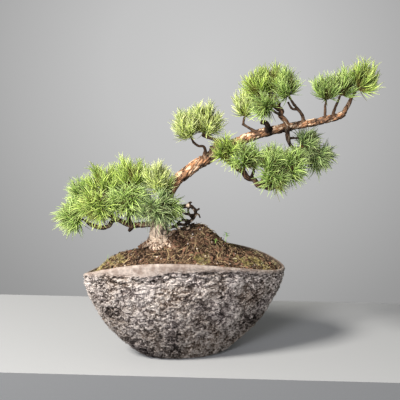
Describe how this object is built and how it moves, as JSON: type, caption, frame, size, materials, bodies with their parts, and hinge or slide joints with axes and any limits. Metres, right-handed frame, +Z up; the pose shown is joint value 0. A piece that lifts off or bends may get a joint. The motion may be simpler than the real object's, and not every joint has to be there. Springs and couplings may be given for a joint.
{
  "type": "potted pine bonsai",
  "caption": "Leaning bonsai pine with needle pads on side branches and dead twigs, rooted in mounded soil in a rough oval boat-shaped stoneware pot.",
  "frame": {"origin": "centre of the pot's flat foot, on the surface that it stands on", "axes": "+Z up, +X to the right in the picture, where the tree leans, -Y towards the viewer"},
  "size_m": [0.5119, 0.1697, 0.4827],
  "materials": {
    "pot": "unglazed rough stoneware with a smoother rim band",
    "soil": "dry crumbly bonsai soil with litter and moss",
    "bark": "flaking pine bark",
    "needles": "fresh pine needles, slightly waxy",
    "screen": "dark plastic mesh"
  },
  "bodies": {
    "root": {"pot": "pot", "soil": "soil", "wood": "bark", "drain_screen_left": "screen", "drain_screen_right": "screen", "needles_left_low": "needles", "needles_left_upper": "needles", "needles_left_front": "needles", "needles_left_top": "needles", "needles_left_crest": "needles", "needles_left_inner": "needles", "needles_left_back": "needles", "needles_left_rear": "needles", "needles_middle_high": "needles", "needles_middle_low": "needles", "needles_middle_right": "needles", "needles_upper_left": "needles", "needles_upper_right": "needles", "needles_upper_back": "needles", "needles_hanging_inner": "needles", "needles_hanging_middle": "needles", "needles_hanging_crest": "needles", "needles_hanging_end": "needles", "needles_hanging_low": "needles", "needles_hanging_back": "needles", "needles_crown_left": "needles", "needles_crown_side": "needles", "needles_crown_top": "needles", "needles_crown_right": "needles", "needles_crown_low": "needles", "needles_crown_back": "needles", "needles_under_near": "needles", "needles_under_far": "needles", "needles_tip_left": "needles", "needles_tip_middle": "needles", "needles_tip_end": "needles"}
  },
  "joints": []
}
